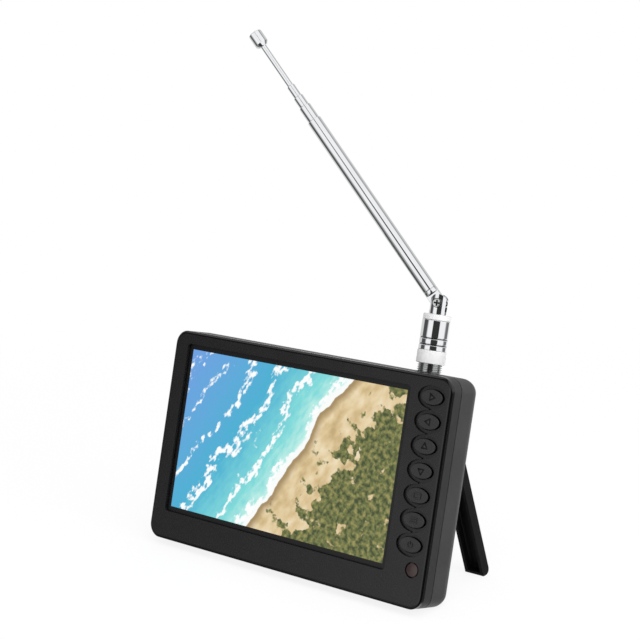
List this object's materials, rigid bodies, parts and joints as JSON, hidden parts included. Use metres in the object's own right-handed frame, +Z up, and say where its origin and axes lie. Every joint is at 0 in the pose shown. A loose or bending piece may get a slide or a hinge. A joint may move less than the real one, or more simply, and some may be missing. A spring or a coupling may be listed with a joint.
{
  "type": "portable television",
  "caption": "Hand-sized flat-screen portable television that leans back on a fold-out leg, with a column of oval keys and a swivelling telescopic aerial.",
  "frame": {"origin": "middle of the flat land along the rear bottom edge that the case stands on, at floor level", "axes": "+X to the right of the screen, +Y from the screen to the back, +Z up; the case leans back on its leg"},
  "size_m": [0.1374, 0.0549, 0.2078],
  "materials": {
    "case_plastic": "fine-textured black ABS",
    "cover_plastic": "fine-textured black ABS",
    "key_plastic": "smooth satin black",
    "leg_plastic": "satin black",
    "screen_glass": "polished, with an anti-glare film",
    "backlight": "white diffuser tray",
    "foam": "closed-cell foam",
    "ribbon": "polyimide film",
    "flat_cable": "white flat cable",
    "board": "green solder mask",
    "chip": "moulded epoxy",
    "tin_plate": "tin-plated sheet",
    "switch": "moulded body",
    "infrared_filter": "polished, infrared-passing",
    "speaker_frame": "black steel basket and paper cone",
    "battery": "foil pouch",
    "lead": "insulated wire",
    "socket_plastic": "black moulding",
    "nickel": "nickel-plated brass thread",
    "white_plastic": "moulded white",
    "chrome": "bright chrome plate",
    "steel": "zinc-plated"
  },
  "bodies": {
    "case": {"front_frame": "case_plastic", "rear_cover": "cover_plastic", "panel_gasket": "foam", "lcd_panel": "screen_glass", "backlight_unit": "backlight", "display_ribbon": "ribbon", "main_board": "board", "main_chip": "chip", "tuner_can": "tin_plate", "key_board": "board", "key_switches": "switch", "key_ribbon": "flat_cable", "infrared_window": "infrared_filter", "infrared_receiver": "chip", "speaker": "speaker_frame", "speaker_lead": "lead", "battery_pack": "battery", "battery_lead": "lead", "aerial_socket": "nickel", "aerial_lead": "socket_plastic", "power_socket": "socket_plastic", "earphone_socket": "socket_plastic", "card_socket": "tin_plate", "case_screws": "steel", "board_screws": "steel", "key_board_screws": "steel", "leg_pin": "steel", "lower_insulator": "white_plastic", "aerial_sleeve": "chrome", "upper_insulator": "white_plastic"},
    "leg": {"leg": "leg_plastic"},
    "aerial_swivel": {"aerial_fork": "chrome", "knuckle_screw": "steel"},
    "mast_lower": {"mast_eye": "chrome", "mast_tube_1": "chrome"},
    "mast_second": {"mast_tube_2": "chrome"},
    "mast_third": {"mast_tube_3": "chrome"},
    "mast_fourth": {"mast_tube_4": "chrome"},
    "mast_top": {"mast_rod": "chrome", "mast_tip": "chrome"},
    "button_right": {"button_right": "key_plastic"},
    "button_left": {"button_left": "key_plastic"},
    "button_up": {"button_up": "key_plastic"},
    "button_down": {"button_down": "key_plastic"},
    "button_source": {"button_source": "key_plastic"},
    "button_menu": {"button_menu": "key_plastic"},
    "button_power": {"button_power": "key_plastic"}
  },
  "joints": [
    {"name": "button_right_press", "type": "slide", "parent": "case", "child": "button_right", "axis": [0, 0.9694, -0.2453], "range_m": [0, 0.0005], "stiffness_N_per_m": 600},
    {"name": "button_left_press", "type": "slide", "parent": "case", "child": "button_left", "axis": [0, 0.9694, -0.2453], "range_m": [0, 0.0005], "stiffness_N_per_m": 600},
    {"name": "button_up_press", "type": "slide", "parent": "case", "child": "button_up", "axis": [0, 0.9694, -0.2453], "range_m": [0, 0.0005], "stiffness_N_per_m": 600},
    {"name": "button_down_press", "type": "slide", "parent": "case", "child": "button_down", "axis": [0, 0.9694, -0.2453], "range_m": [0, 0.0005], "stiffness_N_per_m": 600},
    {"name": "button_source_press", "type": "slide", "parent": "case", "child": "button_source", "axis": [0, 0.9694, -0.2453], "range_m": [0, 0.0005], "stiffness_N_per_m": 600},
    {"name": "button_menu_press", "type": "slide", "parent": "case", "child": "button_menu", "axis": [0, 0.9694, -0.2453], "range_m": [0, 0.0005], "stiffness_N_per_m": 600},
    {"name": "button_power_press", "type": "slide", "parent": "case", "child": "button_power", "axis": [0, 0.9694, -0.2453], "range_m": [0, 0.0005], "stiffness_N_per_m": 600},
    {"name": "leg_fold", "type": "hinge", "parent": "case", "child": "leg", "pos_m": [0.0579, 0.01814, 0.05738], "axis": [-1, 0, 0], "range_deg": [0, 33.9]},
    {"name": "aerial_turn", "type": "hinge", "parent": "case", "child": "aerial_swivel", "pos_m": [0.0496, 0.02237, 0.10469], "axis": [0, 0.2453, 0.9694], "continuous": true},
    {"name": "aerial_lean", "type": "hinge", "parent": "aerial_swivel", "child": "mast_lower", "pos_m": [0.0496, 0.02343, 0.10886], "axis": [0.342, -0.911, 0.2305], "range_deg": [-43.6, 46.4]},
    {"name": "mast_second_slide", "type": "slide", "parent": "mast_lower", "child": "mast_second", "axis": [-0.648, -0.051, 0.7599], "range_m": [-0.0052, 0.058]},
    {"name": "mast_third_slide", "type": "slide", "parent": "mast_second", "child": "mast_third", "axis": [-0.648, -0.051, 0.7599], "range_m": [-0.0036, 0.056]},
    {"name": "mast_fourth_slide", "type": "slide", "parent": "mast_third", "child": "mast_fourth", "axis": [-0.648, -0.051, 0.7599], "range_m": [-0.0044, 0.052]},
    {"name": "mast_top_slide", "type": "slide", "parent": "mast_fourth", "child": "mast_top", "axis": [-0.648, -0.051, 0.7599], "range_m": [-0.0184, 0.032]}
  ]
}
